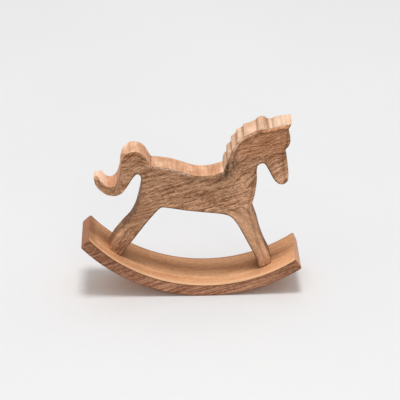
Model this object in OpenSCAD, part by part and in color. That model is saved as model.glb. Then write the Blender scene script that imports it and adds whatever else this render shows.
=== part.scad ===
// Rocking horse: a horse sawn from one wooden slab, standing on a curved rocker board.
// The rocker is screwed to the feet from below and wooden plugs hide the screw heads.
// The origin is on the floor, below the middle of the whole toy. +X points to the head.

/* [Rocker] */
// Radius of the rocker's lower, rolling face
rocker_radius = 181; // [170:1:195]
// Thickness of the rocker board
rocker_thickness = 13.5; // [11:0.5:16]
// Width of the rocker board, across the horse
rocker_width = 60; // [40:1:80]
// Angle from the middle of the rocker to its rear end
rocker_rear_angle = 42.2; // [38:0.1:46]
// Angle from the middle of the rocker to its front end
rocker_front_angle = 41.8; // [38:0.1:46]
// Angle at which the toy stands, nose down from level
lean = 7; // [0:0.1:9]

/* [Horse] */
// Thickness of the slab that the horse is sawn from
slab_thickness = 26; // [20:0.5:32]

/* [Screws] */
// Diameter over the thread
screw_diameter = 4; // [3.5:0.1:4.5]
// Length from the face of the head to the point
screw_length = 35; // [28:1:40]
// Diameter of the countersunk head
screw_head_diameter = 8; // [7:0.1:9]
// Distance between two turns of the thread
thread_pitch = 1.8; // [1.4:0.1:2.4]
// Angle from the middle of the rocker to each screw
screw_angle = 30; // [29.5:0.1:30.5]

/* [Plugs] */
// Diameter of the plugs that hide the screw heads
plug_diameter = 10; // [9.2:0.2:12]
// Depth of the plugs below the rolling face
plug_depth = 3.5; // [2.5:0.1:4]

/* [Hidden] */
$fn = 96;

// Facets on the two long arcs of the rocker
arc_fn = 360;
// Steps between two neighbouring points of a smooth outline
curve_steps = 5;
// Radius of the rocker's upper face, on which the feet stand
seat_radius = rocker_radius - rocker_thickness;
// Puts the middle of the leaning toy's length over the origin
rocker_shift = rocker_radius * (sin(rocker_rear_angle + lean) - sin(rocker_front_angle - lean)) / 2;
// Extra length of a cutting shape past the face that it cuts
overcut = 1;
// Gap around the screw where it passes through the rocker
shank_clearance = 0.15;
// Part of the screw diameter that is left between the turns of the thread
core_ratio = 0.62;
// Length of the pointed end of the screw
point_length = 6;
// Edge of the screw head, before its cone starts
head_rim = 0.4;
// Cross recess in the screw head
recess_width = 1;
recess_span = 4.4;
recess_depth = 1.6;

head_cone = (screw_head_diameter - screw_diameter) / 2;
point_start = screw_length - point_length;

horse_colour = "#b98a5f";
rocker_colour = "#a97850";
plug_colour = "#c39a6c";
steel_colour = "silver";

// The outline of the horse with the rocker level: X to the head, Z up from the rolling face.
// Each stretch is one smooth edge that starts where the last one ends, at a corner.
saddle = [[22, 146.6], [10, 141.1], [0, 139], [-10, 139.1], [-22, 141.9], [-34, 144.4],
    [-46, 145], [-56, 145.1]];
tail_top = [[-56, 145.1], [-60, 150.7], [-66, 157.8], [-74, 160.7], [-82, 158.3], [-87, 151.7],
    [-88.6, 142], [-88.6, 132], [-90.2, 123], [-93.8, 117.5], [-98, 115.7], [-102.5, 117.5],
    [-106.8, 121.4], [-110.6, 124.9], [-113.6, 125.8], [-115.7, 123.7]];
tail_under = [[-115.7, 123.7], [-113, 116.2], [-107.5, 110], [-100.3, 105.4], [-93.2, 104.4],
    [-87, 106.1], [-81.9, 110.9], [-78.5, 118], [-75.2, 125.4], [-72.3, 131], [-69.3, 133.5],
    [-66.5, 132.2], [-64.8, 127.8], [-63.4, 119], [-63.7, 108], [-64.8, 97.5], [-66.6, 87],
    [-70.2, 77], [-76.5, 67.3], [-82.5, 58], [-87.5, 48.5], [-90.7, 39], [-95, 25]];
rear_sole = [[-95, 25], [-80.1, 25]];
between_legs = [[-80.1, 25], [-76.5, 32.5], [-71.5, 42.4], [-66, 52.3], [-60.1, 63.1],
    [-53.4, 75.4], [-46.6, 86.6], [-42.2, 93.1], [-39.2, 95.9], [-35, 96.4], [-25, 95.9],
    [-12, 95.1], [4, 94.9], [22, 94.9], [32, 94], [38.2, 91.2], [44, 85.3], [49.7, 77.4],
    [55.3, 68.9], [60.8, 60.3], [66.7, 51.3], [72.7, 40.5], [78.1, 25]];
front_sole = [[78.1, 25], [92.9, 25]];
front_leg_front = [[92.9, 25], [89.5, 37], [85.1, 49], [78, 61], [72, 73.5], [66.8, 87],
    [61.4, 98.5], [58.2, 108.5], [59.1, 119], [59.5, 131], [58.8, 142], [57.4, 150.5],
    [57.3, 156.5]];
face = [[57.3, 156.5], [59.3, 158.9], [62.3, 160.3], [65.3, 159.4], [68.7, 154.9], [72.9, 148.6],
    [77.3, 142.2], [81.4, 138.5], [85.6, 137.1], [89.8, 138.4], [92.4, 142.2], [92.2, 149],
    [91, 155], [89.5, 161.5], [87.7, 168.5], [86, 174.5], [84.5, 179]];
brow = [[84.5, 179], [87.4, 183.3], [88.5, 188], [87.8, 193], [86.2, 198.3], [84.4, 203]];
forelock = [[84.4, 203], [86, 206.2], [87.3, 210.2]];
head_top = [[87.3, 210.2], [81, 208.8], [75.5, 207.2], [70.8, 205.3], [68, 202.8]];
poll = [[68, 202.8], [62.5, 202.5]];
poll_tuft = [[62.5, 202.5], [60.8, 204.9], [57, 206], [53.4, 204.5], [51.9, 202], [51.4, 200]];
smooth_stretches = [saddle, tail_top, tail_under, rear_sole, between_legs, front_sole,
    front_leg_front, face, brow, forelock, head_top, poll, poll_tuft];
// The mane's five locks are straight cuts, from the poll down to the withers
mane = [[51.4, 200], [46.3, 196.8], [38.5, 193.6], [37.9, 189.8], [32.3, 187.1], [31.6, 181.5],
    [29, 179.4], [27.1, 177], [27.8, 170.7], [24.7, 168.8], [23.6, 166.9], [24.6, 158.6],
    [22.5, 156.8], [21.7, 153.3]];

// A point of the Catmull-Rom curve from b to c, at part t of the way
function curve_point(a, b, c, d, t) =
    (2 * b + (c - a) * t + (2 * a - 5 * b + 4 * c - d) * pow(t, 2)
        + (3 * b - a - 3 * c + d) * pow(t, 3)) / 2;

// A smooth edge through the points, without its last point
function smooth_edge(points, steps = curve_steps) =
    let (last = len(points) - 1)
    [for (i = [0:last - 1], k = [0:steps - 1])
        curve_point(
            i > 0 ? points[i - 1] : 2 * points[0] - points[1],
            points[i],
            points[i + 1],
            i < last - 1 ? points[i + 2] : 2 * points[last] - points[last - 1],
            k / steps)];

// A straight edge keeps its first point only
function edge_points(points) = len(points) > 2 ? smooth_edge(points) : [points[0]];

// Turns the toy from its level position to the one in which it stands
module standing() {
    translate([rocker_shift, 0, rocker_radius])
        rotate([0, lean, 0])
            translate([0, 0, -rocker_radius])
                children();
}

// A round bar across the toy, about the centre of the rocker's arc
module arc_bar(radius, length) {
    translate([0, 0, rocker_radius])
        rotate([90, 0, 0])
            cylinder(r = radius, h = length, center = true, $fn = arc_fn);
}

// Stands a child on the rolling face at an angle along the rocker, pointing at the arc's centre
module along_rocker(angle) {
    translate([0, 0, rocker_radius])
        rotate([0, -angle, 0])
            translate([0, 0, -rocker_radius])
                children();
}

// The room that one screw and its plug need, from the rolling face into the leg
module screw_room(shank_gap) {
    translate([0, 0, -overcut])
        cylinder(d = plug_diameter, h = plug_depth + overcut);
    translate([0, 0, plug_depth]) {
        cylinder(d = screw_head_diameter, h = head_rim);
        translate([0, 0, head_rim])
            cylinder(d1 = screw_head_diameter, d2 = screw_diameter, h = head_cone);
        cylinder(d = screw_diameter + 2 * shank_gap, h = point_start);
        translate([0, 0, point_start])
            cylinder(d1 = screw_diameter, d2 = 0, h = point_length);
    }
}

// Both screw rooms, cut out of the piece that is given
module drilled(shank_gap = 0) {
    difference() {
        children();
        for (side = [-1, 1])
            along_rocker(side * screw_angle)
                screw_room(shank_gap);
    }
}

// The slab that the horse is sawn from, cut to its outline
module sawn_slab() {
    rotate([90, 0, 0])
        linear_extrude(slab_thickness, center = true)
            polygon(concat([for (stretch = smooth_stretches) each edge_points(stretch)], mane));
}

// The curved board, cut off square to its arc at both ends
module curved_board() {
    reach = 2 * rocker_radius;
    difference() {
        arc_bar(rocker_radius, rocker_width);
        arc_bar(seat_radius, rocker_width + 2 * overcut);
        for (end_angle = [-rocker_rear_angle, rocker_front_angle])
            translate([0, 0, rocker_radius])
                rotate([0, sign(end_angle) * 90 - end_angle, 0])
                    translate([-reach, -reach, 0])
                        cube(2 * reach);
    }
}

// A countersunk wood screw with its head at the floor and its point up
module wood_screw() {
    thread_r = screw_diameter / 2;
    core_r = thread_r * core_ratio;
    thread_start = rocker_thickness - plug_depth;
    turns = floor((point_start - thread_start) / thread_pitch);
    difference() {
        rotate_extrude()
            polygon(concat(
                [[0, 0], [screw_head_diameter / 2, 0], [screw_head_diameter / 2, head_rim],
                    [thread_r, head_rim + head_cone], [thread_r, thread_start]],
                [for (i = [0:turns - 1], part = [[core_r, 0.25], [core_r, 0.7], [thread_r, 0.95]])
                    [part[0], thread_start + (i + part[1]) * thread_pitch]],
                [[core_r, point_start], [0, screw_length]]));
        for (turn = [0, 90])
            rotate([0, 0, turn])
                translate([-recess_span / 2, -recess_width / 2, -overcut])
                    cube([recess_span, recess_width, recess_depth + overcut]);
    }
}

module leg_screw(angle) {
    color(steel_colour)
        standing()
            along_rocker(angle)
                translate([0, 0, plug_depth])
                    wood_screw();
}

// A plug that ends flush with the rolling face
module screw_plug(angle) {
    color(plug_colour)
        standing()
            intersection() {
                along_rocker(angle)
                    translate([0, 0, -overcut])
                        cylinder(d = plug_diameter, h = plug_depth + overcut);
                arc_bar(rocker_radius, rocker_width);
            }
}

module horse() {
    color(horse_colour)
        standing()
            drilled()
                intersection() {
                    sawn_slab();
                    union() {
                        arc_bar(seat_radius, rocker_width);
                        translate([-rocker_radius, -rocker_width / 2, rocker_radius])
                            cube([2 * rocker_radius, rocker_width, rocker_radius]);
                    }
                }
}

module rocker() {
    color(rocker_colour)
        standing()
            drilled(shank_clearance)
                curved_board();
}

module rear_leg_screw() { leg_screw(-screw_angle); }
module front_leg_screw() { leg_screw(screw_angle); }
module rear_screw_plug() { screw_plug(-screw_angle); }
module front_screw_plug() { screw_plug(screw_angle); }

horse();
rocker();
rear_leg_screw();
front_leg_screw();
rear_screw_plug();
front_screw_plug();
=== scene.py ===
"""The looks of the rocking horse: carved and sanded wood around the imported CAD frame.

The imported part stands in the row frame. The shapes here are worked out in the level frame, in mm: it is
turned by the toy's lean, so that the rocker stands level, +x is the head's side and y is the same in both.
"""
from math import cos, pi, radians, sin, sqrt

import bmesh
import bpy
import numpy as np
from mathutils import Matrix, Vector, geometry, noise


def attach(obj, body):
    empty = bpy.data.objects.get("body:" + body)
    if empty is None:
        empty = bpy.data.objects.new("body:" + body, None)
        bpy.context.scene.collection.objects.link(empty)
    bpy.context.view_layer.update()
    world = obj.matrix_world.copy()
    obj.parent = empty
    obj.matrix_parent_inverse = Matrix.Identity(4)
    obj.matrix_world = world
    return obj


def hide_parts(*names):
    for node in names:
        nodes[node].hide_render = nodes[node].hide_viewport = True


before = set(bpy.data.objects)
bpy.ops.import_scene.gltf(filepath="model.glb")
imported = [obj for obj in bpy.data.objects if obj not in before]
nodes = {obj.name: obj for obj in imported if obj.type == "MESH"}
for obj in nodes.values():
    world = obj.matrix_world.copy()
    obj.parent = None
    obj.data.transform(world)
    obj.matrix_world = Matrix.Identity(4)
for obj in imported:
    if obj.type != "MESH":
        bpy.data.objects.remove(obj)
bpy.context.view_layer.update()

# ---------------------------------------------------------------- sizes of the CAD model, in mm
MM = 0.001
ROCKER_R = 181.0        # radius of the rolling face
SEAT_R = 167.5          # radius of the board's upper face, on which the feet stand
BOARD_HALF = 30.0       # half the board's width
SLAB_HALF = 13.0        # half the horse's thickness
LEAN = radians(7)
# Where the board ends, as angles around the rocker's centre from its lowest line
REAR_END, FRONT_END = radians(42.2), radians(41.8)
# The rocker's centre: its height in the level frame, and its place along the row frame
CENTRE = 180.0
SHIFT = ROCKER_R * (sin(REAR_END + LEAN) - sin(FRONT_END - LEAN)) / 2
# Screws and plugs stand upright on the rolling face, this far to either side of its lowest line
SCREW_ANGLE = radians(30)
PLUG_R, PLUG_LENGTH = 5.0, 3.5
HEAD_R, HEAD_RIM = 4.0, 0.4
SHANK_R, SCREW_LENGTH, POINT = 2.0, 35.0, 6.0
# The two flat sides: the photo shows the one towards -y
NEAR, FAR = -1, 1
# How high the photo's camera stands, as an angle above the floor
ELEVATION = radians(28)


def to_level(x, z):
    """Row frame to level frame."""
    dx, dz = x - SHIFT, z - ROCKER_R
    return dx * cos(LEAN) - dz * sin(LEAN), dx * sin(LEAN) + dz * cos(LEAN) + CENTRE


def to_row(x, z):
    """Level frame to row frame."""
    dz = z - CENTRE
    return SHIFT + x * cos(LEAN) + dz * sin(LEAN), ROCKER_R - x * sin(LEAN) + dz * cos(LEAN)


def smooth(a, b, t):
    """0 below a, 1 above b, an S in between; a may be above b."""
    t = np.clip((np.asarray(t, float) - a) / (b - a), 0, 1)
    return t * t * (3 - 2 * t)


def area(x, z, across, up):
    """1 in an area that comes in smoothly over the span across in x and the span up in z."""
    return smooth(*across, x) * smooth(*up, z)


def turned(x, z, px, pz, angle):
    """Coordinates along and across a direction that runs at that angle through the point."""
    c, s = np.cos(angle), np.sin(angle)
    return (x - px) * c + (z - pz) * s, -(x - px) * s + (z - pz) * c


def spot(x, z, at, size, turn=0.0):
    """1 at a place, fading to 0 over the size along and across the turn."""
    u, v = turned(x, z, *at, turn)
    return np.exp(-(u / size[0]) ** 2 - (v / size[1]) ** 2)


def rough(points, size, seed=0.0):
    """Noise from -1 to 1 at points (n, 3), with lumps of that size."""
    return np.array([noise.noise(Vector(p) / size + Vector((seed, seed, seed))) for p in points])


# ---------------------------------------------------------------- outlines
def side_outline(node, y):
    """The outline of a node's flat side at y, level, anticlockwise, as an array (n, 2)."""
    me = nodes[node].data
    places, ids = {}, []
    for v in me.vertices:
        ids.append(places.setdefault(tuple(round(c / MM, 3) for c in v.co), len(places)))
    spots = list(places)
    edges = set()
    for poly in me.polygons:
        ring = [ids[i] for i in poly.vertices]
        if all(abs(spots[i][1] - y) < 0.01 for i in ring):
            for a, b in zip(ring, ring[1:] + ring[:1]):
                if (b, a) in edges:
                    edges.remove((b, a))
                elif a != b:
                    edges.add((a, b))
    after = dict(edges)
    at = min(after)
    loop = []
    for _ in range(len(after)):
        loop.append(spots[at])
        at = after[at]
    loop = np.array(loop)
    out = np.c_[to_level(loop[:, 0], loop[:, 2])]
    following = np.roll(out, -1, 0)
    if (out[:, 0] * following[:, 1] - following[:, 0] * out[:, 1]).sum() < 0:
        out = out[::-1]
    return out


def even_run(run, step, trim=0.0):
    """Points in even steps along a smooth curve through the run, trimmed by that much at both ends."""
    ends = np.r_[[2 * run[0] - run[1]], run, [2 * run[-1] - run[-2]]]
    t = np.linspace(0, 1, 8, endpoint=False)[:, None]
    fine = []
    for a, b, c, d in zip(ends, ends[1:], ends[2:], ends[3:]):
        fine.append((2 * b + (c - a) * t + (2 * a - 5 * b + 4 * c - d) * t ** 2
                     + (3 * b - a - 3 * c + d) * t ** 3) / 2)
    fine = np.r_[np.concatenate(fine), [run[-1]]]
    far = np.r_[0, np.cumsum(np.hypot(*np.diff(fine, axis=0).T))]
    start, stop = trim, far[-1] - trim
    count = max(2, int(round((stop - start) / step)))
    s = np.linspace(start, stop, count + 1)
    return np.c_[np.interp(s, far, fine[:, 0]), np.interp(s, far, fine[:, 1])]


def resampled(outline, step, soften=0.0, corner=radians(27)):
    """The closed outline in even steps, smooth between its corners. Corners stay, or are cut by soften."""
    n = len(outline)
    corners = []
    for i in range(n):
        before, after = outline[i] - outline[i - 1], outline[(i + 1) % n] - outline[i]
        turn = np.arctan2(before[0] * after[1] - before[1] * after[0], before @ after)
        if np.hypot(*after) >= 1e-4 and abs(turn) > corner:
            corners.append(i)
    out = []
    for start, stop in zip(corners, corners[1:] + [corners[0] + n]):
        points = even_run(outline[np.arange(start, stop + 1) % n], step, soften)
        out.append(points if soften else points[:-1])
    return np.concatenate(out)


def inward(outline):
    """The unit normal into the material at each point of an anticlockwise outline."""
    ahead, back = np.roll(outline, -1, 0) - outline, outline - np.roll(outline, 1, 0)
    ahead /= np.hypot(*ahead.T)[:, None]
    back /= np.hypot(*back.T)[:, None]
    along = ahead + back
    along /= np.maximum(np.hypot(*along.T), 1e-6)[:, None]
    return np.c_[-along[:, 1], along[:, 0]]


def depth_inside(points, outline, batch=500):
    """How far each point lies from the outline, and which outline point is the nearest."""
    a, b = outline, np.roll(outline, -1, 0)
    ab = b - a
    best = np.full(len(points), 1e9)
    near = np.zeros(len(points), int)
    for low in range(0, len(points), batch):
        p = points[low:low + batch, None]
        t = np.clip(((p - a) * ab).sum(2) / (ab * ab).sum(1), 0, 1)
        d = np.hypot(*np.moveaxis(p - a - ab * t[..., None], 2, 0))
        k = d.argmin(1)
        best[low:low + batch] = d[np.arange(len(k)), k]
        near[low:low + batch] = np.where(t[np.arange(len(k)), k] > 0.5, (k + 1) % len(a), k)
    return best, near


def inside(points, outline):
    """True for each point within the outline."""
    x, y = points[:, :1], points[:, 1:]
    a, b = outline, np.roll(outline, -1, 0)
    cross = (a[:, 1] > y) != (b[:, 1] > y)
    with np.errstate(divide="ignore", invalid="ignore"):
        at = (b[:, 0] - a[:, 0]) * (y - a[:, 1]) / (b[:, 1] - a[:, 1]) + a[:, 0]
    return ((cross & (x < at)).sum(1) % 2).astype(bool)


# ---------------------------------------------------------------- solids
def new_object(name, verts, faces, closed=True):
    """A mesh object in the scene. A closed one gets all its normals turned outwards."""
    me = bpy.data.meshes.new(name)
    me.from_pydata(verts, [], faces)
    if closed:
        bm = bmesh.new()
        bm.from_mesh(me)
        bmesh.ops.recalc_face_normals(bm, faces=bm.faces)
        bm.to_mesh(me)
        bm.free()
    ob = bpy.data.objects.new(name, me)
    bpy.context.scene.collection.objects.link(ob)
    return ob


def mesh_points(outline, grid, rings, strip=()):
    """Points for an even mesh inside the outline: rings along its edge, a grid, and those of the strip.
    Points that would crowd the outline, a ring or the strip are left out."""
    low, high = outline.min(0), outline.max(0)
    gx, gz = np.meshgrid(np.arange(low[0], high[0], grid), np.arange(low[1], high[1], grid * sqrt(0.75)))
    gx[1::2] += grid / 2
    kinds = [(outline + inward(outline) * r, 0.93 * r) for r in rings]
    kinds.append((np.c_[gx.ravel(), gz.ravel()], rings[-1] + grid * 0.45))
    free = []
    for points, least in kinds:
        points = points[inside(points, outline)]
        free.append(points[depth_inside(points, outline)[0] > least])
    if len(strip):
        strip = strip[inside(strip, outline)]
        strip = strip[depth_inside(strip, outline)[0] > 0.6]
        gap = np.hypot(*np.moveaxis(free[-1][:, None] - strip, 2, 0)).min(1)
        free[-1] = free[-1][gap > grid * 0.6]
        free.append(strip)
    return np.concatenate(free)


def flat_mesh(outline, points):
    """Triangles through outline and points: all the places, the triangles, the outline's own indices."""
    n = len(outline)
    verts, _, faces, origin, _, _ = geometry.delaunay_2d_cdt(
        [Vector(p) for p in np.concatenate([outline, points])], [], [list(range(n))], 1, 1e-4)
    rim = {j: i for i, group in enumerate(origin) for j in group if j < n}
    return np.array([v[:] for v in verts]), faces, [rim[j] for j in range(n)]


def sanded_slab(name, outline, half, points, across, depth, wall, bend=None):
    """A slab in the outline's shape, its flat sides meshed through the points, its sawn edge in steps across.

    depth(points, d, near, side) is how far a flat side lies below flat, wall(s, y, outline) how far the sawn
    edge lies inside the outline, and bend(x, y, z) gives the final x and z.
    """
    n = len(outline)
    flat, faces, rim = flat_mesh(outline, points)
    count = len(flat)
    d, near = depth_inside(flat, outline)
    d[rim] = 0
    near[rim] = np.arange(n)
    places, polys = [], []
    for side in (NEAR, FAR):
        places.append(np.c_[flat[:, 0], side * (half - depth(flat, d, near, side)), flat[:, 1]])
    for f in faces:
        polys.append(tuple(f))
        polys.append(tuple(count + i for i in reversed(f)))
    start, stop = places[0][rim][:, 1], places[1][rim][:, 1]
    along = np.r_[0, np.cumsum(np.hypot(*np.diff(outline, axis=0).T))]
    layers = [rim]
    for k in range(1, across):
        y = start + (stop - start) * k / across
        inset = wall(along, y, outline) * smooth(0, 1.5, np.minimum(y - start, stop - y))
        p = outline + inward(outline) * inset[:, None]
        places.append(np.c_[p[:, 0], y, p[:, 1]])
        layers.append(range(2 * count + (k - 1) * n, 2 * count + k * n))
    layers.append([count + i for i in rim])
    for low, high in zip(layers, layers[1:]):
        for j in range(n):
            m = (j + 1) % n
            polys.append((low[j], high[j], high[m], low[m]))
    places = np.concatenate(places)
    if bend:
        places[:, 0], places[:, 2] = bend(*places.T)
    x, z = to_row(places[:, 0], places[:, 2])
    return new_object(name, (np.c_[x, places[:, 1], z] * MM).tolist(), polys)


def lathe(name, profile, angle, steps=48):
    """A turned solid from (radius, height) pairs, upright on the rolling face at that angle."""
    up = Vector((-sin(angle), 0, cos(angle)))
    out = Vector((cos(angle), 0, sin(angle)))
    foot = Vector((0, 0, CENTRE)) - up * ROCKER_R
    verts, faces = [], []
    for r, h in profile:
        for k in range(steps):
            turn = 2 * pi * k / steps
            p = foot + up * h + out * r * cos(turn) + Vector((0, 1, 0)) * r * sin(turn)
            x, z = to_row(p.x, p.z)
            verts.append((x * MM, p.y * MM, z * MM))
    last = len(verts) - steps
    for low in range(0, last, steps):
        for k in range(steps):
            m = (k + 1) % steps
            faces.append((low + k, low + m, low + steps + m, low + steps + k))
    faces.append(tuple(range(steps))[::-1])
    faces.append(tuple(range(last, last + steps)))
    return new_object(name, verts, faces)


def bored(ob, gap):
    """Cuts the room for both screws and plugs, with that much more play around plug and shank."""
    play = 0.02
    plug, head, shank = PLUG_R + gap, HEAD_R + play, SHANK_R + play
    rim = PLUG_LENGTH + HEAD_RIM
    neck = rim + HEAD_R - SHANK_R
    tip = PLUG_LENGTH + SCREW_LENGTH
    room = [(plug, -1), (plug, PLUG_LENGTH), (head, PLUG_LENGTH), (head, rim), (shank, neck),
            (shank + gap, neck + 0.01), (shank + gap, tip - POINT), (0.1, tip + play)]
    for side in (-1, 1):
        tool = lathe("drill", room, side * SCREW_ANGLE)
        mod = ob.modifiers.new("bore", "BOOLEAN")
        mod.operation, mod.solver, mod.object = "DIFFERENCE", "EXACT", tool
        bpy.context.view_layer.update()
        cut = bpy.data.meshes.new_from_object(ob.evaluated_get(bpy.context.evaluated_depsgraph_get()))
        ob.modifiers.clear()
        ob.data = cut
        bpy.data.objects.remove(tool)


def rounded(d, r):
    """How far an edge rounded to radius r lies below flat, at the distance d from the edge."""
    return r - np.sqrt(r * r - (r - np.minimum(d, r)) ** 2)


# ---------------------------------------------------------------- the horse's shape
# The radius of the near and far edges, and where they are rounded over more: x, z, reach, radius
EDGE_R = 1.0
SOFT_SPOTS = [
    (-67, 92, 14, 2.6), (-74, 70, 14, 3.2), (-82, 57, 14, 3.6), (-88, 45, 12, 4.0), (-92, 35, 8, 4.2),
    (92, 152, 14, 2.6), (88, 168, 12, 2.6), (88, 188, 9, 2.2), (88, 139, 6, 1.6),
    (-114, 122, 6, 2.2), (-100, 105, 14, 1.8), (-84, 108, 12, 1.6), (52, 202, 5, 1.4),
    (87, 209, 7, 3.0),
]
# Broad bevels along the near and far edges, from the bottom up: x, z, width
CHEST_BEVEL = [(92.9, 24, 5.8), (89.5, 36, 5.8), (85, 48, 5.6), (78, 60, 5.4), (72, 72, 5.2), (61.4, 97, 4.4),
               (58.4, 110, 4.0), (59.4, 128, 3.6), (58.8, 141, 2.6), (57.4, 155, 0.5)]
FACE_BEVEL = [(86.2, 136, 0.5), (91.5, 139, 2.0), (92.4, 145, 3.6), (91, 154, 4.2), (88, 167, 4.0),
              (85, 177, 2.4)]
BROW_BEVEL = [(85, 178, 0.8), (88, 184, 3.0), (88.3, 190, 3.4), (86.6, 197, 2.6), (84.6, 202, 0.8)]
BEVEL_SLOPE = 0.6
# The line to which the locks of the mane are cut back, from the withers to the forelock's tip
MANE_LINE = np.array([(22, 145.6), (24.6, 157.6), (27.8, 169.7), (31.6, 180.5), (37.9, 188.6),
                      (51.4, 197.4), (62, 199.2), (71, 202.6), (84, 206.6)])
# One millimetre down across that line, where it crosses the neck
ACROSS_MANE = np.array((0.66, -0.75))


def sole(outline):
    """1 where the outline is the sole of a foot, 0 elsewhere."""
    return smooth(SEAT_R - 3.0, SEAT_R - 0.4, np.hypot(outline[:, 0], outline[:, 1] - CENTRE))


def edge_radius(outline, side):
    """The radius of the edge at each outline point: sharp at the soles, smaller on the far side."""
    r = np.full(len(outline), EDGE_R)
    for x, z, reach, radius in SOFT_SPOTS:
        near = np.exp(-((outline[:, 0] - x) ** 2 + (outline[:, 1] - z) ** 2) / (reach * 0.7) ** 2)
        r = np.maximum(r, EDGE_R + (radius - EDGE_R) * np.minimum(1, 1.4 * near))
    r = r * (1 - sole(outline)) + 0.25 * sole(outline)
    return r if side == NEAR else 0.6 * r


def above_mane(x, z):
    """How far a point lies above the mane line, from 6 below to 8 above; far below it elsewhere."""
    points = np.c_[x, z]
    out = np.full(len(points), -99.0)
    for a, b in zip(MANE_LINE, MANE_LINE[1:]):
        length = np.hypot(*(b - a))
        t = (b - a) / length
        s = (points - a) @ t
        h = (points - a) @ np.array((-t[1], t[0]))
        beside = (s > -1.5) & (s < length + 1.5) & (h > -6) & (h < 8)
        out = np.where(beside, np.maximum(out, h), out)
    return out


def bevels(x, z):
    """The width of the broad bevel next to each point, 0 away from them, and the distance from its line,
    which is a little less than the distance along x, because the lines lean."""
    width, away = np.zeros(len(x)), np.zeros(len(x))
    for line in (CHEST_BEVEL, FACE_BEVEL, BROW_BEVEL):
        edge_x, edge_z, wide = np.transpose(line)
        off = np.abs(x - np.interp(z, edge_z, edge_x))
        near = smooth(9, 7, off) * ((z > edge_z[0]) & (z < edge_z[-1]))
        width = np.maximum(width, near * np.interp(z, edge_z, wide))
        away = np.where(near > 0, 0.92 * off, away)
    return width, away


def worn_tail(x, z, side):
    """The tail's tip is worn away, most on the far side."""
    if side == NEAR:
        return smooth(-104, -108, x) * np.clip((z - 121.7) * 1.3, 0, 4)
    slope = smooth(-101, -106, x) * np.clip((z - 118.6 - 0.3 * (x + 113)) * 1.7, 0, 10.5)
    return np.maximum(slope, smooth(-108.5, -113, x) * 4.0)


def chipped(x, z, d, here):
    """Splinters broken out of the near edge behind the saddle, and next to the withers."""
    band = area(x, z, (-60, -52), (130, 134)) * smooth(-6, -16, x) * smooth(4.2, 1.0, d)
    bite = np.clip(rough(here, 2.2, 3.0) * 1.3 + 0.35 * rough(here, 0.9, 8.0) + 0.25, 0, 1)
    withers = area(x, z, (17, 21), (134, 140)) * area(x, z, (36, 29), (176, 166)) * smooth(8, 3, d)
    nick = np.clip(rough(here, 3.0, 5.0) + 0.3, 0, 1)
    return 0.75 * band * bite + 0.7 * withers * nick


def horse_depth(outline):
    radius = {side: edge_radius(outline, side) for side in (NEAR, FAR)}
    # how much more the locks are cut back for each mm above the mane line, and the facet on the head below it
    lock_slope = {NEAR: 1.25, FAR: 0.5}
    facet_share = {NEAR: 1.0, FAR: 0.4}

    def depth(points, d, near, side):
        x, z = points.T
        here = np.c_[points, np.full(len(points), side * 40.0)]
        above = above_mane(x, z)
        width, away = bevels(x, z)
        facet = area(x, z, (46, 54), (190, 193)) * np.clip(0.45 * (3.2 + above), 0, 1.4)
        e = rounded(d, radius[side][near])
        e = np.maximum(e, BEVEL_SLOPE * np.maximum(width - np.maximum(d, away), 0))
        e = np.maximum(e, np.clip(above * lock_slope[side], 0, 8.0))
        e = np.maximum(e, facet_share[side] * facet)
        e = np.maximum(e, worn_tail(x, z, side))
        if side == NEAR:
            e = e + chipped(x, z, d, here)
        wave = 0.08 * (1 + rough(here, 24, 1.5)) + 0.025 * (1 + rough(here, 6, 4.5))
        return e + wave * smooth(0.5, 5, d)

    return depth


def saw_marks(s, y, outline):
    """Shallow marks across the sawn edge, none on the soles."""
    here = np.c_[s, y * 0.12, np.zeros(len(s))]
    mark = 0.06 * (1 + rough(here, 2.4, 2.0)) + 0.06 * (1 + rough(here, 9.0, 6.0))
    return mark * (1 - sole(outline))


horse_line = resampled(side_outline("horse", -SLAB_HALF), 0.8)
# closer points along the mane line, where two finishes meet: rows that stop short of the forelock's tip
mane_run = even_run(np.r_[MANE_LINE, [MANE_LINE[-1] + (0.5, 0)]], 0.9)[:-4]
mane_rows = (-1.3, -0.4, 0.3, 1.1, 1.9, 2.7, 3.6, 4.6)
mane_strip = np.concatenate([mane_run + ACROSS_MANE * off for off in mane_rows])
horse_points = mesh_points(horse_line, 2.0, (0.3, 0.8, 1.5, 2.4, 3.5, 4.8), mane_strip)
carved_horse = sanded_slab("carved_horse", horse_line, SLAB_HALF, horse_points, 14,
                           horse_depth(horse_line), saw_marks)
bored(carved_horse, 0.0)


# ---------------------------------------------------------------- the rocker's shape
def rocker_depth(points, d, near, side):
    here = np.c_[points, np.full(len(points), side * 40.0)]
    return rounded(d, 0.9) + 0.05 * (1 + rough(here, 20, 2.5)) * smooth(0.5, 3, d)


def rocker_wall(s, y, outline):
    """Faint unevenness, none where the feet stand."""
    here = np.c_[s, y, np.zeros(len(s))]
    seat = np.abs(np.hypot(outline[:, 0], outline[:, 1] - CENTRE) - SEAT_R) < 0.3
    under_foot = seat & (np.abs(y) < 15) & (np.abs(np.abs(outline[:, 0]) - 80) < 12)
    mark = 0.05 * (1 + rough(here, 12.0, 6.0)) + 0.03 * (1 + rough(here, 3.0, 2.0))
    return np.where(under_foot, 0, mark)


# How far from the board's ends its edges begin to round over
END_ROUND = 2.2


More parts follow.
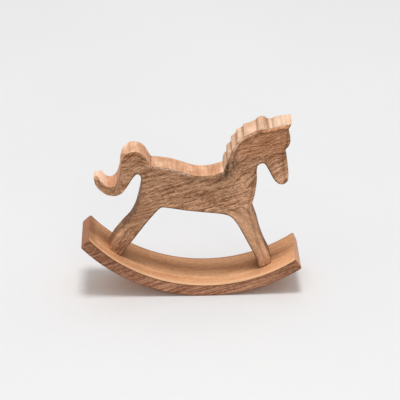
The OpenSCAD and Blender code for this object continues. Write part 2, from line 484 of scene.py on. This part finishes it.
def skewed_ends(x, y, z):
    """The ends are not cut quite square, and their edges are worn round."""
    r, a = np.hypot(x, z - CENTRE), np.arctan2(x, CENTRE - z)
    outer = np.clip((r - SEAT_R) / (ROCKER_R - SEAT_R), 0, 1)
    near = (BOARD_HALF - y) / (2 * BOARD_HALF)
    tail_end = smooth(radians(-33), -REAR_END, a)
    head_end = smooth(radians(33), FRONT_END, a)
    to_end = SEAT_R * np.minimum(a + REAR_END, FRONT_END - a)
    wear = 1 - np.sqrt(1 - (1 - np.clip(to_end / END_ROUND, 0, 1)) ** 2)
    r = r + wear * ((0.7 + near) * (1 - outer) - 2.4 * outer)
    rear_skew = (0.1 + near) * (1 - outer) + 0.4 * near * outer
    front_skew = (0.9 - 0.6 * near) * (1 - outer) + 0.1 * outer
    a = a + radians(1) * (head_end * front_skew - tail_end * rear_skew)
    return r * np.sin(a), CENTRE - r * np.cos(a)


rocker_line = resampled(side_outline("rocker", -BOARD_HALF), 1.0, soften=1.0)
rocker_points = mesh_points(rocker_line, 2.2, (0.3, 0.9, 1.8))
sawn_rocker = sanded_slab("sawn_rocker", rocker_line, BOARD_HALF, rocker_points, 26,
                          rocker_depth, rocker_wall, skewed_ends)
bored(sawn_rocker, 0.12)


# ---------------------------------------------------------------- grain and marks, painted on the meshes
def corner_values(me, name, kind, field, columns):
    """Writes one attribute on the corners of the mesh."""
    values = np.stack(columns, 1).astype(np.float32).ravel()
    me.attributes.new(name, kind, "CORNER").data.foreach_set(field, values)


def paint(ob, outline, grain, marks):
    """Writes what the materials read: grain (along, across, depth; metres) and four channels of marks."""
    me = ob.data
    corners = np.zeros(len(me.loops), int)
    me.loops.foreach_get("vertex_index", corners)
    co = np.zeros(len(me.vertices) * 3)
    me.vertices.foreach_get("co", co)
    x, y, z = (co.reshape(-1, 3) / MM).T
    x, z = to_level(x, z)
    d, nearest = depth_inside(np.c_[x, z], outline)
    outward = -inward(outline)[nearest]
    normal = np.zeros(len(me.polygons) * 3)
    me.polygons.foreach_get("normal", normal)
    sizes = np.zeros(len(me.polygons), int)
    me.polygons.foreach_get("loop_total", sizes)
    normal = np.repeat(normal.reshape(-1, 3), sizes, axis=0)
    x, y, z = x[corners], y[corners], z[corners]
    along = grain(x, y, z, normal)
    corner_values(me, "grain", "FLOAT_VECTOR", "vector", [part * MM for part in along])
    corner_values(me, "marks", "FLOAT_COLOR", "color", marks(x, y, z, normal, d[corners], outward[corners]))
    me.shade_smooth()
    me.set_sharp_from_angle(angle=radians(42))


# The tail's hook turns about this point, and its grain with it
HOOK_X, HOOK_Z, HOOK_R = -97.5, 124, 14
GRAIN_ANGLE = radians(24)


def horse_grain(x, y, z, n):
    """The grain rises towards the head, turns with the legs, and runs round the tail's hook."""
    angle = GRAIN_ANGLE + radians(8) * area(x, z, (10, 40), (120, 150)) * smooth(190, 165, z)
    angle = angle + radians(3) * area(x, z, (60, 75), (120, 140))
    rear, front = area(x, z, (-14, -48), (98, 62)), area(x, z, (16, 58), (114, 54))
    u, v = turned(x, z, 50 * front - 58 * rear, 90.0, angle + radians(32) * rear - radians(62) * front)
    root = area(x, z, (-56, -72), (98, 112)) * smooth(135, 150, z)
    swirl = 4.0 * np.sin((x + 62) * 0.2) * root
    hook = area(x, z, (-84, -92), (140, 128))
    round_u, round_v = np.arctan2(z - HOOK_Z, x - HOOK_X) * HOOK_R, np.hypot(x - HOOK_X, z - HOOK_Z)
    return u * (1 - hook) + round_u * hook, (v + swirl) * (1 - hook) + round_v * hook, y


# The saddle's outline, below which the chipped edge shows paler wood
SADDLE = np.array([(-56, 144.1), (-46, 144), (-34, 143.4), (-22, 140.9),
                   (-10, 138.1), (0, 138), (10, 140.1), (22, 145.6)])
# Notches between the locks, darkened with painted shade
NOTCHES = [(24.2, 157.5), (27.5, 169.7), (31.4, 180.5), (37.6, 188.8), (51.4, 199.4), (62.8, 201.6),
           (68, 202)]
# Two dark lines across the tail: their heights at these places along x, and their strength
TAIL_LINES_X = (-89, -80, -70, -62)
TAIL_LINES = [((151.0, 154.4, 155.4, 149.0), 0.55), ((143.9, 145.8, 149.4, 144.0), 0.42)]
# Lighter and darker areas of the flanks: how much, and where each comes in along x and z
FLANK_AREAS = [
    (0.38, (28, 46), (104, 84)),        # front leg
    (-0.42, (60, 76), (58, 34)),        # front foot
    (-0.14, (-60, -74), (60, 40)),      # rear foot
    (0.36, (71, 78), (168, 150)),       # muzzle
    (0.10, (-60, -66), (118, 126)),     # tail
]
# Lighter spots of the flanks: how much, where, and their size
FLANK_SPOTS = [
    (0.36, (50, 112), (14, 26)),        # chest
    (0.24, (-2, 100), (46, 9)),         # belly
    (0.10, (44, 152), (14, 18)),        # neck
]
# Dark figure of the near side: strength, where, size and turn
FIGURE = [
    (1.4, (26.5, 149), (5.5, 14), radians(-28)),        # withers
    (0.55, (31, 168), (4, 9), radians(-28)),            # neck
    (0.5, (0, 134), (15, 2.6), 0.0),                    # under the saddle
]


def sawn_tone(x, y, z, n, mane):
    """The sawn edge's tone, and its pale parts. The tone is fitted and mostly painted light and shade: bright
    on top and brown where the edge faces sideways or down. The tone is fitted to the photo, bright on top and
    brown where the edge faces sideways or down, so it may hold some of the photo's shade."""
    up = n[:, 2]
    hook = area(x, z, (-88, -91), (112, 116))
    tail_front = area(x, z, (-72, -69), (143, 146)) * smooth(-52, -54, x) * smooth(0.1, 0.3, n[:, 0])
    tail_rear = area(x, z, (-80, -84), (122, 128)) * smooth(-0.2, -0.5, n[:, 0])
    # painted light: the share of the edge painted as lit, where it faces up, and on the mane, the hook and the
    # tail's sides
    bright = np.clip(smooth(0.45, 0.68, up) + mane + hook + tail_front + 0.9 * tail_rear, 0, 1)
    # painted shade: brown where the edge faces sideways, darkest where it faces down
    tone = 0.56 + 0.44 * bright - 0.16 * smooth(-0.1, -0.5, up) * (1 - bright)
    # painted shade, darker towards the far side
    tone *= 1 - 0.22 * (1 - bright) * smooth(-4, 10, y)
    # painted light, a little lighter where painted as lit
    tone *= 1 + 0.07 * bright
    # two small spots of painted shade
    tone *= 1 - 0.32 * spot(x, z, (60.5, 206), (2.6, 6)) - 0.25 * spot(x, z, (-56, 144), (1.4, 2.5))
    tone *= 1 + 0.16 * area(x, z, (-100, -106), (116, 120))
    # painted light on the upper part of the tail's rear edge, which faces sideways
    tone *= 1 + 0.34 * tail_rear * smooth(134, 140, z)
    # painted shade in the notches between the locks
    for at in NOTCHES:
        tone *= 1 - 0.42 * spot(x, z, at, (1.1, 1.3))
    # painted light: the forelock is paler where it is painted as lit
    forelock = area(x, z, (64, 67), (197, 199)) * bright
    tail_tip = area(x, z, (-96, -104), (112, 118))
    return tone, np.clip(0.45 * mane + 0.5 * forelock + 0.9 * tail_tip, 0, 1)


def flank_tone(x, z, d, outward, above):
    """The tone of the flat sides and of what is finished like them."""
    tone = 1 + sum(much * area(x, z, *where) for much, *where in FLANK_AREAS)
    tone = tone + sum(much * spot(x, z, *where) for much, *where in FLANK_SPOTS)
    # a dark line along the inner edge of the broad bevels
    width, away = bevels(x, z)
    tone *= 1 - 0.36 * smooth(0.2, 1.5, width) * np.exp(-((np.maximum(d, away) - width - 0.3) / 1.1) ** 2)
    # painted shade along all edges, most where they face down, but the tail's hook has a lighter rim
    rim = area(x, z, (-76, -82), (124, 120))
    edge_shade = 0.14 * smooth(1.6, 0.4, d) + 0.5 * smooth(2.1, 0.9, d) * smooth(-0.1, -0.45, outward[:, 1])
    tone *= 1 + 0.22 * rim * smooth(2.2, 1.0, d) - (1 - rim) * edge_shade
    # a lighter band below the mane line, and a dark line under that
    band = area(x, z, (26, 31), (166, 174))
    tone *= 1 + band * (0.50 * smooth(-2.8, -2.0, above) - 0.42 * np.exp(-(above + 3.5) ** 2))
    # the two wavy dark lines across the top of the tail
    tail = area(x, z, (-94, -90), (143, 147)) * smooth(-62, -66, x)
    wave = z + 0.5 * np.sin(x * 0.6) + 0.4 * np.sin(x * 1.5 + 1)
    for heights, deep in TAIL_LINES:
        tone *= 1 - tail * deep * np.exp(-((wave - np.interp(x, TAIL_LINES_X, heights)) / 1.5) ** 2)
    return tone


def horse_marks(x, y, z, n, d, outward):
    """Four channels: dark figure, or below 0 quiet grain; chips and pale wood; the sawn finish; the tone, with
    painted light and shade.
    """
    above = above_mane(x, z)
    locks = smooth(0.0, 0.5, above)
    near = smooth(-0.3, -0.7, n[:, 1])
    # the brown of the flank runs over the tail's rear edge. How its upper limit crosses the slab can't be seen,
    # so the limit is laid along the photo's line of sight; it is fixed on the wood and moves with no camera
    sight = z * cos(ELEVATION) + y * sin(ELEVATION)
    corner = area(x, z, (-81.5, -84), (139, 142)) * smooth(132.8, 131.4, sight)
    # the rear side of the rear leg is finished like the flanks
    rear_leg = area(x, z, (-38, -44), (122, 106)) * smooth(-0.2, -0.4, n[:, 0])
    flank = np.maximum(smooth(0.45, 0.7, np.abs(n[:, 1])) * (1 - locks), rear_leg)
    sawn = (1 - flank) * (1 - 0.9 * corner)
    mane = np.maximum(area(x, z, (18, 21), (142, 146)) * smooth(57, 50, x), locks)
    edge_tone, pale = sawn_tone(x, y, z, n, mane)
    tone = flank_tone(x, z, d, outward, above) * flank + edge_tone * (1 - flank)
    figure = np.clip(sum(much * spot(x, z, *where) for much, *where in FIGURE), 0, 1)
    calm = 0.75 * area(x, z, (34, 50), (112, 92))
    feather = 0.3 * area(x, z, (26, 31), (166, 174)) * smooth(56, 48, x) * smooth(-4.5, -3.0, above)
    below_saddle = np.interp(x, *SADDLE.T) - z
    chips = smooth(-60, -54, x) * smooth(-6, -18, x) * smooth(4.6, 1.0, below_saddle) * (z > 130)
    broken = np.maximum(chips, feather) * near
    return figure * np.maximum(near, corner) - calm, np.maximum(broken, pale * sawn), sawn, tone


# The arc of the board's middle, along which the grain coordinate of its curved faces runs
GRAIN_R = 174
# Where each foot stands
FEET = (-78.5, 76.5)


def rocker_grain(x, y, z, n):
    """The grain runs along the curved faces, and slantwise over the sides."""
    on_side = np.abs(n[:, 1]) > 0.7
    u, v = turned(x, z, 0, 0, GRAIN_ANGLE)
    r, arc = np.hypot(x, z - CENTRE), np.arctan2(x, CENTRE - z) * GRAIN_R
    return np.where(on_side, u, arc), np.where(on_side, v, y), np.where(on_side, y * 3, r)


def rocker_marks(x, y, z, n, d, outward):
    """Four channels: the sides; painted highlights on edges; the sawn ends; the tone, with painted light and
    shade.
    """
    r, a = np.hypot(x, z - CENTRE), np.arctan2(x, CENTRE - z)
    # how much a face looks along the arc, and how near it is to the upper and the rolling face
    along = n[:, 0] * np.cos(a - LEAN) + n[:, 2] * np.sin(a - LEAN)
    rolling = smooth(ROCKER_R - 1.6, ROCKER_R - 0.5, r)
    side = smooth(0.5, 0.8, np.abs(n[:, 1]))
    end = smooth(0.5, 0.8, np.abs(along)) * (1 - side)
    face = (1 - side) * (1 - end) * smooth(SEAT_R + 2, SEAT_R + 1, r)
    # painted highlights on the upper face's near edge, and on the near part of the rear end's inner edge
    edge_highlight = smooth(-21, -28, y) * smooth(SEAT_R + 1.5, SEAT_R, r) * smooth(1.0, 0.5, np.abs(a))
    end_highlight = smooth(0.25, 0.5, -along) * smooth(0.95, 0.8, -along) * smooth(2, -6, y)
    edge_highlight = edge_highlight + end_highlight * smooth(SEAT_R + 3, SEAT_R + 1, r)
    # the sides: dark lines along both edges, darker towards both ends
    tone = 1 - side * (0.52 * smooth(SEAT_R + 2.2, SEAT_R + 0.8, r) + 0.36 * rolling)
    tone *= (1 - 0.20 * side * smooth(-52, -90, x)) * (1 - 0.16 * side * smooth(92, 108, x))
    tone *= 1 - 0.30 * end * (smooth(SEAT_R + 1.6, SEAT_R + 0.5, r) + rolling)
    # the upper face, partly its own colour and partly painted light and shade: lighter near its long edges and
    # its front end, darker behind, with a dark far edge
    lighter = 0.10 * smooth(-2, 14, y) + 0.15 * smooth(-4, -14, y) + 0.07 * smooth(84, 96, x)
    darker = 0.09 * smooth(-36, -56, x) + 0.10 * area(x, y, (-78, -86), (-4, 8))
    tone *= 1 + face * (lighter - darker)
    tone *= 1 - face * (0.45 * smooth(26, 29, y) + 0.34 * area(x, y, (-103, -111), (-26, -20)))
    # painted shade beside the feet, under the lean of the legs
    for foot in FEET:
        tone *= 1 - 0.42 * face * spot(x, y, (foot, -5), (7, 12))
    return side, np.clip(edge_highlight, 0, 1), end, tone


paint(carved_horse, horse_line, horse_grain, horse_marks)
paint(sawn_rocker, rocker_line, rocker_grain, rocker_marks)


# ---------------------------------------------------------------- materials
class Shader:
    """A material under construction: each call adds a node and gives back its output."""

    def __init__(self, name):
        self.mat = bpy.data.materials.new(name)
        self.mat.use_nodes = True
        self.tree = self.mat.node_tree
        self.surface = self.tree.nodes["Principled BSDF"]

    def put(self, kind, settings=None, **inputs):
        """A node with those settings. An input's name is its socket's, or i and the socket's number."""
        node = self.tree.nodes.new("ShaderNode" + kind)
        for key, value in (settings or {}).items():
            setattr(node, key, value)
        for key, value in inputs.items():
            numbered = key[0] == "i" and key[1:].isdigit()
            self.feed(node, int(key[1:]) if numbered else key.replace("_", " "), value)
        return node

    def feed(self, node, key, value):
        if isinstance(value, bpy.types.NodeSocket):
            self.tree.links.new(value, node.inputs[key])
        elif isinstance(value, tuple) and len(value) == 3 and node.inputs[key].type == "RGBA":
            node.inputs[key].default_value = (*value, 1)
        else:
            node.inputs[key].default_value = value

    def math(self, op, a, b=0.0, c=0.0):
        return self.put("Math", {"operation": op}, i0=a, i1=b, i2=c).outputs[0]

    def place(self):
        return self.put("TexCoord").outputs["Object"]

    def painted(self):
        """The grain, the three marks and the tone that paint() wrote."""
        marks = self.put("Attribute", {"attribute_name": "marks"})
        grain = self.put("Attribute", {"attribute_name": "grain"}).outputs["Vector"]
        return grain, self.put("SeparateColor", Color=marks.outputs["Color"]).outputs, marks.outputs["Alpha"]

    def noise(self, vector, by, detail=2.0, roughness=0.55, twist=0.0):
        """Noise with that many lumps per metre along each axis of the vector."""
        scaled = self.put("VectorMath", {"operation": "MULTIPLY"}, i0=vector, i1=by).outputs[0]
        return self.put("TexNoise", Vector=scaled, Scale=1.0, Detail=detail, Roughness=roughness,
                        Distortion=twist).outputs["Fac"]

    def wandering(self, grain, by, reach):
        """The grain coordinates, pushed a little sideways."""
        push = self.math("MULTIPLY_ADD", self.noise(grain, by, 2), 2 * reach, -reach)
        sideways = self.put("CombineXYZ", Y=push).outputs[0]
        return self.put("VectorMath", {"operation": "ADD"}, i0=grain, i1=sideways).outputs[0]

    def streaks(self, grain, by_long, by_short):
        """Long and short streaks of grain, half and half."""
        long_ones, short_ones = self.noise(grain, by_long, 3, 0.6), self.noise(grain, by_short, 3, 0.7)
        return self.math("MULTIPLY_ADD", long_ones, 0.5, self.math("MULTIPLY", short_ones, 0.5))

    def span(self, value, low, high, to_low=0.0, to_high=1.0):
        return self.put("MapRange", {"interpolation_type": "SMOOTHSTEP"}, i0=value, i1=low, i2=high,
                        i3=to_low, i4=to_high).outputs[0]

    def ramp(self, value, stops):
        node = self.put("ValToRGB", Fac=value)
        band = node.color_ramp
        while len(band.elements) < len(stops):
            band.elements.new(1.0)
        for element, (at, colour) in zip(band.elements, stops):
            element.position = at
            element.color = (*colour, 1)
        return node.outputs["Color"]

    def mix(self, amount, a, b, blend="MIX"):
        node = self.tree.nodes.new("ShaderNodeMix")
        node.data_type, node.blend_type = "RGBA", blend
        for key, value in ((0, amount), (6, a), (7, b)):
            self.feed(node, key, value)
        return node.outputs[2]

    def toned(self, colour, tone, warmth=0.0):
        """The colour times the tone; dark tones turn warmer."""
        green = self.math("POWER", tone, 1 + warmth) if warmth else tone
        blue = self.math("POWER", tone, 1 + 2.2 * warmth) if warmth else tone
        return self.mix(1.0, colour, self.put("CombineColor", Red=tone, Green=green, Blue=blue).outputs[0],
                        "MULTIPLY")

    def finish(self, colour, roughness, height, strength, distance, **uniform):
        """Joins the colour, the roughness and a bump to the surface; the rest goes on its own sockets."""
        self.feed(self.surface, "Base Color", colour)
        self.feed(self.surface, "Roughness", roughness)
        for key, value in uniform.items():
            self.feed(self.surface, key.replace("_", " "), value)
        bump = self.put("Bump", Strength=strength, Distance=distance, Height=height)
        self.feed(self.surface, "Normal", bump.outputs[0])
        return self.mat


# Oiled wood has hardly any gloss, and its dark places are warmer
WOOD_GLOSS, WARMTH = 0.18, 0.12
QUIET_WOOD, DARK_FIGURE, BROKEN_WOOD = (0.500, 0.268, 0.150), (0.120, 0.068, 0.040), (0.80, 0.56, 0.40)
PALE_CUT, HIGHLIGHT_WOOD = (0.86, 0.61, 0.44), (0.82, 0.52, 0.30)
REAR_END_WOOD, FRONT_END_WOOD = (0.375, 0.155, 0.085), (0.70, 0.40, 0.265)


def horse_wood():
    s = Shader("mango_wood_horse")
    grain, (dark_spot, chip_spot, sawn), tone = s.painted()
    place = s.place()
    wander = s.wandering(grain, (22, 30, 15), 0.0022)
    streak = s.streaks(wander, (48, 430, 120), (200, 800, 300))
    broad = s.noise(wander, (10, 60, 25), 2, 0.5)
    speck = s.noise(place, (650, 650, 650), 2, 0.6)
    face = s.ramp(streak, [(0.40, (0.225, 0.094, 0.044)), (0.49, (0.465, 0.238, 0.128)),
                           (0.60, (0.735, 0.425, 0.255))])
    face = s.mix(1.0, face, s.ramp(broad, [(0.3, (0.88, 0.85, 0.82)), (0.7, (1.0, 1.0, 1.0))]), "MULTIPLY")
    # the head is a redder wood
    height_up = s.put("SeparateXYZ", Vector=place).outputs[2]
    face = s.mix(s.span(height_up, 0.150, 0.172), face, s.mix(1.0, face, (1.03, 0.92, 0.83), "MULTIPLY"))
    # the dark channel: quieter grain below 0, dark figure above it
    face = s.mix(s.math("MAXIMUM", s.math("MULTIPLY", dark_spot, -1.0), 0.0), face, QUIET_WOOD)
    figure = s.noise(place, (330, 60, 85), 2, 0.5, 0.9)
    dark = s.math("MULTIPLY", s.math("MAXIMUM", dark_spot, 0.0), s.span(figure, 0.46, 0.58, 1.0, 0.2))
    face = s.toned(face, s.span(speck, 0.3, 0.7, 0.80, 1.20))
    face = s.mix(dark, face, DARK_FIGURE)
    chip = s.math("MULTIPLY", chip_spot, s.span(s.noise(place, (420, 420, 420), 3, 0.7), 0.43, 0.52))
    face = s.mix(s.math("MULTIPLY", chip, 0.95), face, BROKEN_WOOD)
    # the sawn edge: smoother, with faint lines across the slab
    lines = s.noise(place, (420, 26, 420), 3, 0.6)
    soft = s.noise(place, (95, 60, 95), 2, 0.6)
    cut = s.ramp(soft, [(0.34, (0.58, 0.285, 0.155)), (0.5, (0.67, 0.365, 0.212)),
                        (0.66, (0.80, 0.505, 0.33))])
    cut = s.mix(s.math("MULTIPLY", chip_spot, 0.8), cut, PALE_CUT)
    cut = s.toned(cut, s.span(lines, 0.3, 0.7, 0.84, 1.10))
    colour = s.toned(s.mix(sawn, face, cut), tone, WARMTH)
    height = s.math("ADD", streak, s.math("MULTIPLY", speck, 0.3))
    return s.finish(colour, s.span(streak, 0.4, 0.6, 0.78, 0.62), height, 0.22, 0.0004,
                    Specular_IOR_Level=WOOD_GLOSS)


def rocker_wood():
    s = Shader("mango_wood_rocker")
    grain, (side, edge_highlight, end), tone = s.painted()
    place = s.place()
    wander = s.wandering(grain, (18, 30, 15), 0.002)
    streak = s.streaks(wander, (24, 460, 120), (170, 900, 300))
    broad = s.noise(wander, (6, 60, 30), 2, 0.5)
    speck = s.noise(place, (650, 650, 650), 2, 0.6)
    top = s.ramp(broad, [(0.3, (0.57, 0.257, 0.117)), (0.5, (0.67, 0.330, 0.160)),
                         (0.7, (0.73, 0.385, 0.200))])
    top = s.toned(top, s.span(streak, 0.40, 0.58, 0.84, 1.09), 0.1)
    flank = s.ramp(streak, [(0.41, (0.225, 0.086, 0.045)), (0.49, (0.420, 0.186, 0.100)),
                            (0.59, (0.66, 0.345, 0.205))])
    wood = s.toned(s.mix(side, top, flank), s.span(speck, 0.3, 0.7, 0.86, 1.14))
    # painted highlights along the board's edges
    wood = s.mix(s.math("MULTIPLY", edge_highlight, 0.5), wood, HIGHLIGHT_WOOD)
    ahead = s.put("SeparateXYZ", Vector=place).outputs[0]
    end_wood = s.mix(s.span(ahead, -0.05, 0.05), REAR_END_WOOD, FRONT_END_WOOD)
    wood = s.toned(s.mix(s.math("MULTIPLY", end, 0.8), wood, end_wood), tone, WARMTH)
    return s.finish(wood, s.span(streak, 0.4, 0.6, 0.76, 0.6), streak, 0.22, 0.0004,
                    Specular_IOR_Level=WOOD_GLOSS)


def plug_wood():
    s = Shader("plug_end_wood")
    place = s.place()
    fibre = s.noise(place, (160, 1300, 160), 3, 0.6)
    broad = s.noise(place, (60, 300, 60), 2, 0.5)
    wood = s.ramp(broad, [(0.3, (0.46, 0.24, 0.12)), (0.7, (0.66, 0.38, 0.21))])
    wood = s.toned(wood, s.span(fibre, 0.3, 0.7, 0.72, 1.1))
    return s.finish(wood, s.span(fibre, 0.3, 0.7, 0.76, 0.6), fibre, 0.3, 0.0003,
                    Specular_IOR_Level=WOOD_GLOSS)


def zinc_steel():
    s = Shader("zinc_plated_steel")
    patch = s.noise(s.place(), (900, 900, 900), 3, 0.6)
    colour = s.ramp(patch, [(0.3, (0.50, 0.51, 0.52)), (0.7, (0.68, 0.68, 0.66))])
    return s.finish(colour, s.span(patch, 0.3, 0.7, 0.42, 0.24), patch, 0.1, 0.00005, Metallic=1.0)


def floor_paint():
    s = Shader("pale_floor")
    place = s.place()
    patch = s.noise(place, (2.2, 2.2, 2.2), 3, 0.5)
    fine = s.noise(place, (90, 90, 90), 3, 0.6)
    both = s.math("ADD", s.math("MULTIPLY", patch, 0.8), s.math("MULTIPLY", fine, 0.2))
    colour = s.ramp(both, [(0.3, (0.80, 0.80, 0.805)), (0.7, (0.84, 0.84, 0.84))])
    return s.finish(colour, s.span(fine, 0.3, 0.7, 0.62, 0.7), fine, 0.05, 0.0003, Specular_IOR_Level=0.2)


def dress(ob, mat):
    ob.data.materials.clear()
    ob.data.materials.append(mat)


dress(carved_horse, horse_wood())
dress(sawn_rocker, rocker_wood())
plug, steel = plug_wood(), zinc_steel()
for end in ("rear", "front"):
    for node, mat in ((end + "_screw_plug", plug), (end + "_leg_screw", steel)):
        for held in nodes[node].material_slots:
            held.material = mat

for piece, node, slot in ((carved_horse, "horse", "horse_wood"), (sawn_rocker, "rocker", "rocker_wood")):
    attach(piece, "root")
    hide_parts(node)


# ---------------------------------------------------------------- floor, light, camera; metres
def floor_sheet():
    """A wide flat floor of one metre squares."""
    xs, ys = np.linspace(-6, 6, 13), np.linspace(-4, 10, 15)
    verts = [(x, y, 0.0) for y in ys for x in xs]
    w = len(xs)
    faces = []
    for low in range(0, len(verts) - w, w):
        for i in range(low, low + w - 1):
            faces.append((i, i + 1, i + w + 1, i + w))
    ob = new_object("floor", verts, faces, closed=False)
    ob.data.materials.append(floor_paint())
    return ob


floor_sheet()


def area_light(name, place, target, size, watts, tint=(1, 1, 1)):
    data = bpy.data.lights.new(name, "AREA")
    data.shape, data.size, data.energy, data.color = "DISK", size, watts, tint
    ob = bpy.data.objects.new(name, data)
    ob.location = place
    ob.rotation_euler = (Vector(target) - Vector(place)).to_track_quat("-Z", "Y").to_euler()
    bpy.context.scene.collection.objects.link(ob)


area_light("key_light", (0.0, -0.5, 5.4), (0, 0, 0.05), 1.5, 138)
area_light("ceiling", (0.0, 0.5, 3.0), (0, 0.5, 0), 5.0, 36)
area_light("front_light", (0.3, -1.9, 1.2), (0, 0, 0.08), 1.0, 4, (1.0, 0.97, 0.93))

world = bpy.data.worlds.new("studio")
world.use_nodes = True
sky = world.node_tree.nodes["Background"]
sky.inputs["Color"].default_value = (0.985, 0.99, 1.0, 1)
sky.inputs["Strength"].default_value = 0.355
bpy.context.scene.world = world

# The photo's viewing angle, and the lens that gives its framing from there
AZIMUTH, DISTANCE = radians(-2.25), 2.065
LOOK_AT = Vector((0.00966, 0, 0.1034))
back = Vector((sin(AZIMUTH) * cos(ELEVATION), -cos(AZIMUTH) * cos(ELEVATION), sin(ELEVATION)))
lens = bpy.data.cameras.new("camera")
lens.lens, lens.sensor_width, lens.clip_start = 171, 36, 0.05
camera = bpy.data.objects.new("camera", lens)
camera.location = LOOK_AT + back * DISTANCE
camera.rotation_euler = (-back).to_track_quat("-Z", "Y").to_euler()
bpy.context.scene.collection.objects.link(camera)
bpy.context.scene.camera = camera
bpy.context.scene.view_settings.view_transform = "Standard"

bpy.context.view_layer.update()
